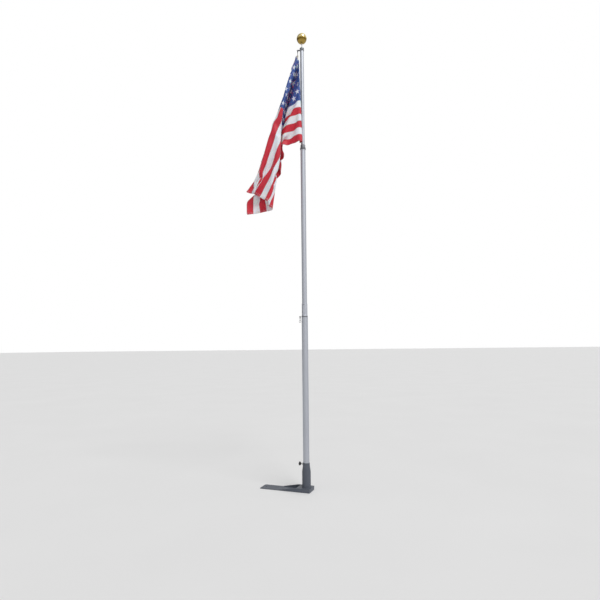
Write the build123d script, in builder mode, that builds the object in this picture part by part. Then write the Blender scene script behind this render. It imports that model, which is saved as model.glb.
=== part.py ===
import os
from math import cos, radians, sin

from build123d import *

# Telescoping flagpole standing in a drive-on wheel stand, in millimetres, +Z up.
# The origin is on the underside of the stand's pan, on the pole's axis.
# The stand's pan runs towards -X, and the flag hangs to the left of a viewer at -Y.

# Pan of the stand: sheet steel, folded up at both sides and at the socket end
pan_length = 555
pan_width = 150
pan_gauge = 5
pan_overhang = 57        # pole axis to the socket end
pan_fold = 40            # height of the folded sides
pan_full_fold = 170      # socket end to where the sides start to come down
pan_taper = 180          # length over which the sides run out into the flat plate
pan_corner = 18
pan_bend = 4
cover_length = 142
cover_gauge = 5
stake_hole = 14
stake_from_far_end = 45

# Socket: steel tube with a swaged neck that the pole drops into
socket_od = 88.9
socket_wall = 3.2
socket_top = 292
neck_od = 71
neck_length = 26
neck_taper = 62
neck_lip = 1.5
seat_height = 22
weld_leg = 5
slip_clearance = 0.5     # pole in the socket's neck and seat

# Clamp screw through the neck
clamp_below_top = 14
clamp_boss_od = 22
clamp_boss_length = 9
clamp_screw_od = 10
clamp_shaft_fit = 0.05
clamp_tip_gap = 0.3
clamp_shaft_out = 19     # shaft that shows between the boss and the knob
knob_od = 40
knob_thickness = 15
knob_lobes = 5
knob_lobe_od = 15
knob_hub_od = 18
knob_hub_length = 5

# Pole: three tubes, each sliding in the one below
lower_od = 63.5
middle_od = 50.8
top_od = 38.1
tube_wall = 2
lower_rim = 1786         # height of the lower tube's upper end
middle_rim = 3505        # height of the middle tube's upper end, drawn out
sliding_clearance = 0.35
guide_length = 60
guide_chamfer = 2
stop_gap = 1             # guide to sleeve when a section is drawn out fully
spigot_length = 125

# Sleeves at the tube ends: spigot inside, neck for a flag ring, head outside
ring_play = 0.4          # around and above each ring
sleeve_head_od = 57.5
sleeve_head_length = 121
sleeve_flange_od = 60.5
sleeve_flange_length = 6
sleeve_chamfer = 1.5
sleeve_wall = 1.9
sleeve_screw_od = 9
sleeve_screw_proud = 1.5
sleeve_screw_below_top = 13
collar_head_od = 49
collar_head_length = 30
collar_wall = 2.1
collar_chamfer = 2

# Truck cap and finial on top
cap_head_od = 44
cap_head_length = 12
cap_neck_od = 29
cap_dome = 3
cap_spigot_length = 45
cap_spigot_bore = 12
spindle_od = 12
spindle_foot_od = 22
spindle_foot_length = 4
spindle_showing = 46
spindle_in_ball = 20
ball_od = 102
ball_wall = 1.6
ball_band_od = 104.4
ball_band_height = 3

# Rings that carry the flag's snaps
spare_ring_od = 61
spare_ring_height = 11
lower_ring_od = 58
lower_ring_height = 18
top_ring_od = 44
top_ring_height = 13
tab_thickness = 3.6
tab_web = 3.6            # metal between the tab's hole and its end
tab_hole = 7.8
tab_width = 17
top_tab_reach = 43       # pole axis to the middle of the web
lower_tab_reach = 41
spare_tab_reach = 48
top_tab_angle = 200
lower_tab_angle = -92
spare_tab_angle = 200

# Swivel snap hooks
snap_wire = 4
eye_radius = 7           # to the middle of the wire
hook_wire = 4.4
hook_radius = 9
snap_reach = 47          # middle of the eye to the middle of the hook
swivel_od = 10
swivel_length = 9
shank_od = 6
gate_od = 3
hook_opening = 85        # degrees left open, where the gate sits

# Flag, 3 by 5 feet, hanging limp
hoist = 914
heading_width = 30
heading_thickness = 2
grommet_from_edge = 12   # down from the flag's corner
grommet_inset = 8        # in from the heading's edge
grommet_od = 17
grommet_bore = 10
grommet_thickness = 3.6
grommet_seat = 0.3
flag_angle = 200         # direction in which the flag hangs off the pole
flag_depth = 46          # how far the folds lie one behind another
cloth_clearance = 0.3


def out_at(angle, reach, height):
    """Point at an angle round the pole's axis."""
    return (reach * cos(radians(angle)), reach * sin(radians(angle)), height)


# Heights and radii that follow from the sizes above
socket_or = socket_od / 2
neck_or = neck_od / 2
lower_or = lower_od / 2
middle_or = middle_od / 2
top_or = top_od / 2
lower_ir = lower_or - tube_wall
middle_ir = middle_or - tube_wall
top_ir = top_or - tube_wall
pan_x_far = pan_overhang - pan_length
lower_foot = pan_gauge

spare_ring_foot = lower_rim + ring_play
spare_ring_z = spare_ring_foot + spare_ring_height / 2
sleeve_flange_foot = spare_ring_foot + spare_ring_height + ring_play
sleeve_top = sleeve_flange_foot + sleeve_flange_length + sleeve_head_length
lower_ring_foot = middle_rim + ring_play
lower_ring_z = lower_ring_foot + lower_ring_height / 2
collar_foot = lower_ring_foot + lower_ring_height + ring_play
collar_top = collar_foot + collar_head_length

# Wire of a hook lies on the grommet's edge; both snaps are taut on the flag's hoist
web_to_eye = eye_radius - snap_wire / 2 - 2.6
web_to_wire = web_to_eye + snap_reach + hook_radius
wire_to_grommet = grommet_bore / 2 - hook_wire / 2 - grommet_seat
web_to_corner = web_to_wire + wire_to_grommet - grommet_from_edge
hoist_foot = lower_ring_z + web_to_corner
hoist_head = hoist_foot + hoist
top_ring_z = hoist_head + web_to_corner
top_rim = top_ring_z - top_ring_height / 2 - ring_play
cap_foot = top_ring_z + top_ring_height / 2 + ring_play
cap_top = cap_foot + cap_head_length + cap_dome
ball_centre = cap_top + spindle_showing + ball_od / 2

middle_foot = lower_rim - spigot_length - stop_gap - guide_length
top_foot = middle_rim - spigot_length - stop_gap - guide_length


# Stand

with BuildPart() as base_pan:
    with BuildSketch(Plane.YZ.offset(pan_x_far)) as folded_section:
        with Locations((0, pan_fold / 2)):
            Rectangle(pan_width, pan_fold)
        fillet(folded_section.vertices().group_by(Axis.Y)[0], pan_bend)
    extrude(amount=pan_length)
    with BuildSketch(Plane.XY.offset(pan_gauge)):
        with Locations((pan_overhang - pan_length / 2 - pan_gauge, 0)):
            Rectangle(pan_length, pan_width - 2 * pan_gauge)
    extrude(amount=pan_fold, mode=Mode.SUBTRACT)
    # The sides run down into the flat plate that the wheel stands on
    with BuildSketch(Plane.XZ.offset(-pan_width)):
        with BuildLine():
            Polyline(
                (pan_overhang - pan_full_fold, pan_fold),
                (pan_overhang - pan_full_fold - pan_taper, pan_gauge),
                (pan_x_far, pan_gauge),
                (pan_x_far, 2 * pan_fold),
                (pan_overhang - pan_full_fold, 2 * pan_fold),
                close=True,
            )
        make_face()
    extrude(amount=2 * pan_width, mode=Mode.SUBTRACT)
    with BuildSketch(Plane.XY) as plan:
        with Locations((pan_overhang - pan_length / 2, 0)):
            Rectangle(pan_length, pan_width)
        fillet(plan.vertices().group_by(Axis.X)[0], pan_corner)
    extrude(amount=pan_fold, mode=Mode.INTERSECT)
    with BuildSketch(Plane.XY):
        with Locations((pan_x_far + stake_from_far_end, 0)):
            Circle(stake_hole / 2)
    extrude(amount=pan_gauge, mode=Mode.SUBTRACT)

with BuildPart() as cover_plate:
    with BuildSketch(Plane.XY.offset(pan_fold - cover_gauge)):
        with Locations((pan_overhang - pan_gauge - cover_length / 2, 0)):
            Rectangle(cover_length, pan_width - 2 * pan_gauge)
        Circle(socket_or, mode=Mode.SUBTRACT)
    extrude(amount=cover_gauge)

neck_foot = socket_top - neck_length
with BuildPart() as socket_tube:
    with BuildSketch(Plane.XZ):
        with BuildLine():
            Polyline(
                (socket_or, pan_gauge),
                (socket_or, neck_foot - neck_taper),
                (neck_or, neck_foot),
                (neck_or, socket_top - neck_lip),
                (neck_or - neck_lip, socket_top),
                (lower_or + slip_clearance, socket_top),
                (lower_or + slip_clearance, neck_foot),
                (socket_or - socket_wall, neck_foot - neck_taper),
                (socket_or - socket_wall, pan_gauge),
                close=True,
            )
        make_face()
    revolve(axis=Axis.Z)
    clamp_z = socket_top - clamp_below_top
    with BuildSketch(Plane.YZ.offset(-socket_or)):
        with Locations((0, clamp_z)):
            Circle(clamp_screw_od / 2 + 1)
    extrude(amount=socket_or, mode=Mode.SUBTRACT)

with BuildPart() as socket_weld:
    with BuildSketch(Plane.XZ):
        with BuildLine():
            Polyline(
                (socket_or, pan_fold),
                (socket_or + weld_leg, pan_fold),
                (socket_or, pan_fold + weld_leg),
                close=True,
            )
        make_face()
    revolve(axis=Axis.Z)

with BuildPart() as socket_seat:
    with BuildSketch(Plane.XY.offset(pan_gauge)):
        Circle(socket_or - socket_wall)
        Circle(lower_or + slip_clearance, mode=Mode.SUBTRACT)
    extrude(amount=seat_height)

with BuildPart() as clamp_boss:
    with BuildSketch(Plane.YZ.offset(-neck_or - clamp_boss_length)):
        with Locations((0, clamp_z)):
            Circle(clamp_boss_od / 2)
            Circle(clamp_screw_od / 2 + clamp_shaft_fit, mode=Mode.SUBTRACT)
    extrude(amount=clamp_boss_length + neck_or / 2)
    with BuildSketch(Plane.XY):
        Circle(neck_or)
    extrude(amount=2 * socket_top, mode=Mode.SUBTRACT)

knob_face = neck_or + clamp_boss_length + clamp_shaft_out
with BuildPart() as clamp_screw:
    with BuildSketch(Plane.YZ.offset(-knob_face)):
        with Locations((0, clamp_z)):
            Circle(clamp_screw_od / 2)
    extrude(amount=knob_face - lower_or - clamp_tip_gap)

with BuildPart() as clamp_knob:
    with BuildSketch(Plane.YZ.offset(-knob_face - knob_thickness)):
        with Locations((0, clamp_z)):
            Circle(knob_od / 2 - knob_lobe_od / 4)
            with PolarLocations(knob_od / 2 - knob_lobe_od / 2, knob_lobes):
                Circle(knob_lobe_od / 2)
    extrude(amount=knob_thickness)
    fillet(clamp_knob.faces().sort_by(Axis.X)[0].edges(), 2)
    with BuildSketch(Plane.YZ.offset(-knob_face)):
        with Locations((0, clamp_z)):
            Circle(knob_hub_od / 2)
            Circle(clamp_screw_od / 2, mode=Mode.SUBTRACT)
    extrude(amount=knob_hub_length)


# Tubes and the guides at their feet


def tube(outer_radius, foot, head):
    with BuildPart() as piece:
        with BuildSketch(Plane.XY.offset(foot)):
            Circle(outer_radius)
            Circle(outer_radius - tube_wall, mode=Mode.SUBTRACT)
        extrude(amount=head - foot)
    return piece


def guide(inner_radius, bore_around, foot):
    with BuildPart() as piece:
        with BuildSketch(Plane.XY.offset(foot)):
            Circle(bore_around - sliding_clearance)
            Circle(inner_radius, mode=Mode.SUBTRACT)
        extrude(amount=guide_length)
        outer_edges = piece.edges().filter_by(GeomType.CIRCLE).sort_by(SortBy.RADIUS)[-2:]
        chamfer(outer_edges, guide_chamfer)
    return piece


lower_tube = tube(lower_or, lower_foot, lower_rim)
middle_tube = tube(middle_or, middle_foot, middle_rim)
top_tube = tube(top_or, top_foot, top_rim)
middle_guide = guide(middle_or, lower_ir, middle_foot)
top_guide = guide(top_or, middle_ir, top_foot)


# Sleeves, cap and finial, all turned parts


def turned(points):
    """Solid of revolution about the pole's axis."""
    with BuildPart() as piece:
        with BuildSketch(Plane.XZ):
            with BuildLine():
                Polyline(*points, close=True)
            make_face()
        revolve(axis=Axis.Z)
    return piece


sleeve_bore = middle_or + sliding_clearance
sleeve_neck_or = sleeve_bore + sleeve_wall
lower_sleeve = turned([
    (sleeve_bore, lower_rim - spigot_length),
    (lower_ir, lower_rim - spigot_length),
    (lower_ir, lower_rim),
    (sleeve_neck_or, lower_rim),
    (sleeve_neck_or, sleeve_flange_foot),
    (sleeve_flange_od / 2, sleeve_flange_foot),
    (sleeve_flange_od / 2, sleeve_flange_foot + sleeve_flange_length),
    (sleeve_head_od / 2, sleeve_flange_foot + 2 * sleeve_flange_length),
    (sleeve_head_od / 2, sleeve_top - sleeve_chamfer),
    (sleeve_head_od / 2 - sleeve_chamfer, sleeve_top),
    (sleeve_bore, sleeve_top),
])

with BuildPart() as sleeve_screw:
    with BuildSketch(Plane.XZ.offset(sleeve_head_od / 2 - 1)):
        with Locations((0, sleeve_top - sleeve_screw_below_top)):
            Circle(sleeve_screw_od / 2)
    extrude(amount=sleeve_screw_proud + 1)
    with BuildSketch(Plane.XY.offset(lower_rim)):
        Circle(sleeve_head_od / 2)
    extrude(amount=sleeve_top - lower_rim, mode=Mode.SUBTRACT)

collar_bore = top_or + sliding_clearance
collar_neck_or = collar_bore + collar_wall
upper_collar = turned([
    (collar_bore, middle_rim - spigot_length),
    (middle_ir, middle_rim - spigot_length),
    (middle_ir, middle_rim),
    (collar_neck_or, middle_rim),
    (collar_neck_or, collar_foot),
    (collar_head_od / 2, collar_foot),
    (collar_head_od / 2, collar_top - collar_chamfer),
    (collar_head_od / 2 - collar_chamfer, collar_top),
    (collar_bore, collar_top),
])

truck_cap = turned([
    (cap_spigot_bore / 2, top_rim - cap_spigot_length),
    (top_ir, top_rim - cap_spigot_length),
    (top_ir, top_rim),
    (cap_neck_od / 2, top_rim),
    (cap_neck_od / 2, cap_foot),
    (cap_head_od / 2, cap_foot),
    (cap_head_od / 2, cap_foot + cap_head_length),
    (spindle_foot_od / 2, cap_top),
    (cap_spigot_bore / 2, cap_top),
])

finial_spindle = turned([
    (0, top_rim - cap_spigot_length / 2),
    (cap_spigot_bore / 2, top_rim - cap_spigot_length / 2),
    (cap_spigot_bore / 2, cap_top),
    (spindle_foot_od / 2, cap_top),
    (spindle_foot_od / 2 - 1, cap_top + spindle_foot_length),
    (spindle_od / 2, cap_top + 2 * spindle_foot_length),
    (spindle_od / 2, cap_top + spindle_showing + spindle_in_ball),
    (0, cap_top + spindle_showing + spindle_in_ball),
])

with BuildPart() as finial_ball:
    with Locations((0, 0, ball_centre)):
        Sphere(ball_od / 2)
        Cylinder(ball_band_od / 2, ball_band_height)
        Sphere(ball_od / 2 - ball_wall, mode=Mode.SUBTRACT)
    with BuildSketch(Plane.XY.offset(ball_centre - ball_od)):
        Circle(spindle_od / 2)
    extrude(amount=ball_od, mode=Mode.SUBTRACT)


# Rings with a drilled tab, and the swivel snap hooks


def ring(bore_radius, outer_od, height, middle, tab_reach, tab_angle):
    with BuildPart() as piece:
        with BuildSketch(Plane.XY.offset(middle - height / 2)):
            Circle(outer_od / 2)
        extrude(amount=height)
        tab_plane = Plane(
            origin=(0, 0, middle - tab_thickness / 2),
            x_dir=out_at(tab_angle, 1, 0),
            z_dir=(0, 0, 1),
        )
        tab_end = tab_reach + tab_web / 2
        hole_at = tab_reach - tab_web / 2 - tab_hole / 2
        with BuildSketch(tab_plane):
            with Locations((tab_end / 2, 0)):
                Rectangle(tab_end, tab_width)
        extrude(amount=tab_thickness)
        fillet(piece.edges().filter_by(Axis.Z).sort_by(SortBy.DISTANCE)[-2:], tab_width / 3)
        with BuildSketch(tab_plane):
            with Locations((hole_at, 0)):
                Circle(tab_hole / 2)
        extrude(amount=tab_thickness, mode=Mode.SUBTRACT)
        with BuildSketch(Plane.XY.offset(middle - height)):
            Circle(bore_radius)
        extrude(amount=2 * height, mode=Mode.SUBTRACT)
    return piece


def snap(web_point, eye_angle, hook_angle, way):
    """Eye, swivel, shank and open hook; way is -1 where it hangs and 1 where it stands."""
    x, y, z = web_point
    eye_z = z + way * web_to_eye
    hook_z = eye_z + way * snap_reach
    eye_plane = Plane(
        origin=(x, y, eye_z),
        x_dir=out_at(eye_angle, 1, 0),
        z_dir=out_at(eye_angle - 90, 1, 0),
    )
    hook_plane = Plane(
        origin=(x, y, hook_z),
        x_dir=out_at(hook_angle, 1, 0),
        z_dir=out_at(hook_angle - 90, 1, 0),
    )
    shank_foot = eye_z + way * eye_radius
    shank_head = hook_z - way * hook_radius
    with BuildPart() as piece:
        with Locations(eye_plane.location):
            Torus(eye_radius, snap_wire / 2)
        with BuildSketch(Plane(origin=(x, y, shank_foot), z_dir=(0, 0, way))):
            Circle(swivel_od / 2)
        extrude(amount=swivel_length)
        with BuildSketch(Plane(origin=(x, y, shank_foot), z_dir=(0, 0, way))):
            Circle(shank_od / 2)
        extrude(amount=abs(shank_head - shank_foot))
        with BuildLine(hook_plane):
            bow = CenterArc((0, 0), hook_radius, -90 * way, 360 - hook_opening)
        bow_start = Plane(origin=bow @ 0, z_dir=bow % 0)
        with BuildSketch(bow_start):
            Circle(hook_wire / 2)
        sweep(path=bow)
    with BuildPart() as gate:
        with BuildLine(hook_plane):
            tip = CenterArc((0, 0), hook_radius, -90 * way + 360 - hook_opening, hook_opening)
            spine = Line(tip @ 0.16, tip @ 0.80)
        with BuildSketch(Plane(origin=spine @ 0, z_dir=spine % 0)):
            Circle(gate_od / 2)
        extrude(amount=spine.length)
    return piece, gate


spare_ring = ring(sleeve_neck_or + ring_play, spare_ring_od, spare_ring_height,
                  spare_ring_z, spare_tab_reach, spare_tab_angle)
lower_ring = ring(collar_neck_or + ring_play, lower_ring_od, lower_ring_height,
                  lower_ring_z, lower_tab_reach, lower_tab_angle)
top_ring = ring(cap_neck_od / 2 + ring_play, top_ring_od, top_ring_height,
                top_ring_z, top_tab_reach, top_tab_angle)

top_web = out_at(top_tab_angle, top_tab_reach, top_ring_z)
lower_web = out_at(lower_tab_angle, lower_tab_reach, lower_ring_z)
spare_web = out_at(spare_tab_angle, spare_tab_reach, spare_ring_z)
flag_front = flag_angle + 90
top_snap, top_gate = snap(top_web, top_tab_angle, flag_front, -1)
lower_snap, lower_gate = snap(lower_web, lower_tab_angle, flag_front, 1)
spare_snap, spare_gate = snap(spare_web, spare_tab_angle, spare_tab_angle, -1)


# Flag: canvas heading with a grommet at each end, and the cloth hanging in folds

hang = Vector(*out_at(flag_angle, 1, 0))
front = Vector(*out_at(flag_front, 1, 0))
head_grommet = Vector(*top_web[:2], hoist_head - grommet_from_edge)
foot_grommet = Vector(*lower_web[:2], hoist_foot + grommet_from_edge)


def grommet(centre):
    with BuildPart() as piece:
        start = centre - front * (grommet_thickness / 2)
        with BuildSketch(Plane(origin=start, x_dir=hang, z_dir=front)):
            Circle(grommet_od / 2)
            Circle(grommet_bore / 2, mode=Mode.SUBTRACT)
        extrude(amount=grommet_thickness)
    return piece


upper_grommet = grommet(head_grommet)
lower_grommet = grommet(foot_grommet)


def across(origin, height):
    """Level plane on the hoist's line with x along the flag."""
    return Plane(origin=(origin.X, origin.Y, height), x_dir=hang, z_dir=(0, 0, 1))


heading_middle = heading_width / 2 - grommet_inset
with BuildPart() as flag_heading:
    with BuildSketch(across(foot_grommet, hoist_foot)):
        with Locations((heading_middle, 0)):
            Rectangle(heading_width, heading_thickness)
    with BuildSketch(across(head_grommet, hoist_head)):
        with Locations((heading_middle, 0)):
            Rectangle(heading_width, heading_thickness)
    loft(ruled=True)
    for centre in (head_grommet, foot_grommet):
        start = centre - front * grommet_thickness
        with BuildSketch(Plane(origin=start, x_dir=hang, z_dir=front)):
            Circle(grommet_od / 2)
        extrude(amount=2 * grommet_thickness, mode=Mode.SUBTRACT)



def beside_heading(drop):
    """Point just off the heading's outer edge, so far below the head of the hoist."""
    on_line = head_grommet + (foot_grommet - head_grommet) * (drop / hoist)
    return on_line + hang * (heading_width - grommet_inset + cloth_clearance)


def off_pole(along, forward):
    """Point along the flag's direction and towards its front, from the pole's axis."""
    return hang * along + front * forward


# Level cuts through the hanging cloth: drop below the head of the hoist, then the end
# nearest the pole and the end furthest from it
cuts = [
    (0, beside_heading(0), off_pole(80, 0)),
    (330, beside_heading(330), off_pole(180, 10)),
    (540, beside_heading(540), off_pole(270, 14)),
    (730, beside_heading(730), off_pole(340, 16)),
    (hoist, beside_heading(hoist), off_pole(365, 16)),
    (hoist + 70, off_pole(235, 20), off_pole(375, 14)),
    (hoist + 240, off_pole(240, 16), off_pole(410, 10)),
    (hoist + 430, off_pole(275, 10), off_pole(500, 6)),
    (hoist + 560, off_pole(300, 6), off_pole(600, 0)),
    (hoist + 720, off_pole(330, 4), off_pole(600, 0)),
]
with BuildPart() as flag:
    for drop, near, far in cuts:
        along = Vector(far.X - near.X, far.Y - near.Y, 0)
        middle_of_cut = (near.X + far.X) / 2, (near.Y + far.Y) / 2, hoist_head - drop
        depth = min(flag_depth, 0.25 * along.length)
        with BuildSketch(Plane(origin=middle_of_cut, x_dir=along, z_dir=(0, 0, 1))):
            Ellipse(along.length / 2, depth / 2)
    loft(ruled=True)

pieces = {
    "base_pan": base_pan,
    "cover_plate": cover_plate,
    "socket_tube": socket_tube,
    "socket_weld": socket_weld,
    "socket_seat": socket_seat,
    "clamp_boss": clamp_boss,
    "clamp_screw": clamp_screw,
    "clamp_knob": clamp_knob,
    "lower_tube": lower_tube,
    "lower_sleeve": lower_sleeve,
    "sleeve_screw": sleeve_screw,
    "spare_ring": spare_ring,
    "spare_snap": spare_snap,
    "spare_gate": spare_gate,
    "middle_tube": middle_tube,
    "middle_guide": middle_guide,
    "upper_collar": upper_collar,
    "lower_ring": lower_ring,
    "lower_snap": lower_snap,
    "lower_gate": lower_gate,
    "top_tube": top_tube,
    "top_guide": top_guide,
    "truck_cap": truck_cap,
    "finial_spindle": finial_spindle,
    "finial_ball": finial_ball,
    "top_ring": top_ring,
    "top_snap": top_snap,
    "top_gate": top_gate,
    "upper_grommet": upper_grommet,
    "lower_grommet": lower_grommet,
    "flag_heading": flag_heading,
    "flag": flag,
}

os.makedirs("parts", exist_ok=True)
for name, piece in pieces.items():
    piece.part.label = name
    export_step(piece.part, f"parts/{name}.step")
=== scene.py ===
import math

import bpy
import numpy as np
from mathutils import Matrix, Vector, kdtree


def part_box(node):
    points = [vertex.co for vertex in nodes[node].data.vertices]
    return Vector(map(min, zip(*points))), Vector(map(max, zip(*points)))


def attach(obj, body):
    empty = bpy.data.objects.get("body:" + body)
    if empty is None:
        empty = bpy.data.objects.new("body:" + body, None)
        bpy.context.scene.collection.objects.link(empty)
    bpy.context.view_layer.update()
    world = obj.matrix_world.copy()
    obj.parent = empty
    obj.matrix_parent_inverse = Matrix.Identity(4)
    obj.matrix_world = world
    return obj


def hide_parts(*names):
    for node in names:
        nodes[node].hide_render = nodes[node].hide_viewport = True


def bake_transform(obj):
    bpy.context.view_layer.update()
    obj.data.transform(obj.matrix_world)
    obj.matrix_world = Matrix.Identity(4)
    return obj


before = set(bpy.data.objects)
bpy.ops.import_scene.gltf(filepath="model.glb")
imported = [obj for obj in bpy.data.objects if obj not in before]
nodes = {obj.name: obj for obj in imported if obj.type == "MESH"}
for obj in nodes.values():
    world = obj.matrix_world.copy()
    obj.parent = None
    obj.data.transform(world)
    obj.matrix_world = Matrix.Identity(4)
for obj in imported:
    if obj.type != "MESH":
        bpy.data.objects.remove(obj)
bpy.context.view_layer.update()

# The flag hangs off the pole in this direction, and its near face looks this way
hangAngle = math.radians(200)
hang = Vector((math.cos(hangAngle), math.sin(hangAngle), 0))
front = Vector((math.cos(hangAngle + math.pi / 2), math.sin(hangAngle + math.pi / 2), 0))

# The wind turns the heading away from that by this much, about the line of its grommets
headingTurn = math.radians(40)
headingAlong = hang * math.cos(headingTurn) - front * math.sin(headingTurn)
headingFront = front * math.cos(headingTurn) + hang * math.sin(headingTurn)


# Camera

camera = {"distance": 4.9, "height": 1.47, "azimuth": 20.0, "turn": 0.61, "roll": -0.63,
          "lens": 28.62, "sensor": 36, "shiftY": 0.0800}


def placeCamera(c):
    a, away = math.radians(c["azimuth"]), c["distance"]
    data = bpy.data.cameras.new("camera")
    data.lens = c["lens"]
    data.sensor_width = c["sensor"]
    data.shift_y = c["shiftY"]
    obj = bpy.data.objects.new("camera", data)
    bpy.context.scene.collection.objects.link(obj)
    turn = Matrix.Rotation(a + math.radians(c["turn"]), 4, "Z")
    level = Matrix.Rotation(math.radians(90), 4, "X")
    roll = Matrix.Rotation(math.radians(c["roll"]), 4, "Z")
    place = Matrix.Translation((away * math.sin(a), -away * math.cos(a), c["height"]))
    obj.matrix_world = place @ turn @ level @ roll
    bpy.context.scene.camera = obj


placeCamera(camera)
print("camera placed")


def deselectAll():
    for o in bpy.context.selected_objects:
        o.select_set(False)


def onlyActive(obj):
    deselectAll()
    obj.select_set(True)
    bpy.context.view_layer.objects.active = obj


# Node helpers

def addNode(tree, kind, inputs=None, **settings):
    node = tree.nodes.new(kind)
    for key, value in settings.items():
        setattr(node, key, value)
    for key, value in (inputs or {}).items():
        if isinstance(value, bpy.types.NodeSocket):
            tree.links.new(value, node.inputs[key])
        else:
            node.inputs[key].default_value = value
    return node


def calc(tree, operation, a, b=0.0):
    return addNode(tree, "ShaderNodeMath", {0: a, 1: b}, operation=operation).outputs[0]


def apart(tree, a, b):
    return calc(tree, "ABSOLUTE", calc(tree, "SUBTRACT", a, b))


def mixColour(tree, factor, a, b):
    return addNode(tree, "ShaderNodeMix", {0: factor, 6: a, 7: b}, data_type="RGBA").outputs[2]


def spread(tree, value, low, high, fromMin=0.0, fromMax=1.0, smooth=False):
    node = addNode(tree, "ShaderNodeMapRange",
                   {0: value, 1: fromMin, 2: fromMax, 3: low, 4: high},
                   interpolation_type="SMOOTHSTEP" if smooth else "LINEAR")
    return node.outputs[0]


def speckle(tree, vector, scale, detail, rough, distort=0.0):
    node = addNode(tree, "ShaderNodeTexNoise", {"Vector": vector, "Scale": scale, "Detail": detail,
                                                "Roughness": rough, "Distortion": distort})
    return node.outputs["Fac"]


def stretched(tree, vector, scale):
    return addNode(tree, "ShaderNodeMapping", {"Vector": vector, "Scale": scale}).outputs[0]


def bumped(tree, height, strength, distance, normal=None):
    inputs = {"Height": height, "Strength": strength, "Distance": distance}
    if normal is not None:
        inputs["Normal"] = normal
    return addNode(tree, "ShaderNodeBump", inputs).outputs[0]


def newFinish(name, metallic=0.0, **sockets):
    material = bpy.data.materials.new(name)
    material.use_nodes = True
    tree = material.node_tree
    shader = tree.nodes["Principled BSDF"]
    shader.inputs["Metallic"].default_value = metallic
    for key, value in sockets.items():
        shader.inputs[key.replace("_", " ")].default_value = value
    place = addNode(tree, "ShaderNodeTexCoord").outputs["Object"]
    return material, tree, shader, place


def give(tree, shader, **links):
    for key, value in links.items():
        tree.links.new(value, shader.inputs[key.replace("_", " ")])


def rgb(r, g, b):
    return (r, g, b, 1.0)


# Finishes

def tubeAluminium(name, light, dark, drawn=(900, 900, 1.2), roughLow=0.30, roughHigh=0.46):
    # satin anodised tube: fine draw lines along it, faint handling marks
    material, tree, shader, place = newFinish(name, metallic=1.0)
    lines = speckle(tree, stretched(tree, place, drawn), 1.0, 3, 0.6)
    cloud = speckle(tree, stretched(tree, place, (9, 9, 2.2)), 1.0, 5, 0.6)
    marks = speckle(tree, stretched(tree, place, (60, 60, 14)), 1.0, 6, 0.7)
    scuff = spread(tree, marks, 0, 1, 0.62, 0.74, smooth=True)
    colour = mixColour(tree, cloud, dark, light)
    colour = mixColour(tree, calc(tree, "MULTIPLY", scuff, 0.22), colour, rgb(0.30, 0.30, 0.30))
    rough = spread(tree, lines, roughLow, roughHigh, 0.3, 0.7)
    rough = calc(tree, "ADD", rough, calc(tree, "MULTIPLY", scuff, 0.12))
    give(tree, shader, Base_Color=colour, Roughness=rough,
         Normal=bumped(tree, lines, 0.10, 0.0004))
    return material


def paintedSteel():
    # satin blue-grey paint with orange peel, scuffs, dust and bare chips
    material, tree, shader, place = newFinish("paintedSteel")
    cloud = speckle(tree, place, 7, 5, 0.6)
    peel = speckle(tree, place, 420, 2, 0.5)
    scratch = speckle(tree, stretched(tree, place, (40, 260, 180)), 1.0, 6, 0.75)
    scuff = spread(tree, scratch, 0, 1, 0.60, 0.74, smooth=True)
    chip = spread(tree, speckle(tree, place, 48, 8, 0.7), 0, 1, 0.69, 0.715, smooth=True)
    dust = spread(tree, speckle(tree, place, 18, 7, 0.65), 0, 0.55, 0.42, 0.78)
    colour = mixColour(tree, cloud, rgb(0.054, 0.064, 0.086), rgb(0.080, 0.091, 0.117))
    colour = mixColour(tree, calc(tree, "MULTIPLY", dust, 0.25), colour, rgb(0.20, 0.20, 0.19))
    colour = mixColour(tree, calc(tree, "MULTIPLY", scuff, 0.45), colour, rgb(0.18, 0.20, 0.23))
    colour = mixColour(tree, chip, colour, rgb(0.20, 0.17, 0.15))
    rough = spread(tree, cloud, 0.36, 0.52, 0.3, 0.7)
    rough = calc(tree, "ADD", rough, calc(tree, "MULTIPLY", dust, 0.30))
    height = calc(tree, "SUBTRACT", calc(tree, "MULTIPLY", peel, 0.35), chip)
    give(tree, shader, Base_Color=colour, Roughness=rough,
         Normal=bumped(tree, height, 0.25, 0.0006))
    return material


def zincSteel():
    material, tree, shader, place = newFinish("zincSteel", metallic=1.0)
    bloom = speckle(tree, place, 160, 6, 0.65)
    wear = spread(tree, speckle(tree, place, 420, 5, 0.7), 0, 1, 0.45, 0.7)
    colour = mixColour(tree, bloom, rgb(0.44, 0.45, 0.46), rgb(0.68, 0.68, 0.66))
    give(tree, shader, Base_Color=colour, Roughness=spread(tree, wear, 0.26, 0.50),
         Normal=bumped(tree, bloom, 0.12, 0.0003))
    return material


def mouldedPlastic(name, dark, light, grain=900, roughLow=0.42, roughHigh=0.62, strength=0.18):
    material, tree, shader, place = newFinish(name, Specular_IOR_Level=0.5)
    fine = speckle(tree, place, grain, 2, 0.5)
    cloud = speckle(tree, place, 30, 5, 0.6)
    rub = spread(tree, speckle(tree, place, 110, 6, 0.7), 0, 1, 0.56, 0.74, smooth=True)
    colour = mixColour(tree, cloud, dark, light)
    colour = mixColour(tree, calc(tree, "MULTIPLY", rub, 0.35), colour,
                       rgb(*(min(1, 1.9 * c + 0.02) for c in light[:3])))
    rough = calc(tree, "ADD", spread(tree, fine, roughLow, roughHigh, 0.3, 0.7),
                 calc(tree, "MULTIPLY", rub, -0.06))
    give(tree, shader, Base_Color=colour, Roughness=rough,
         Normal=bumped(tree, fine, strength, 0.0003))
    return material


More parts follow.
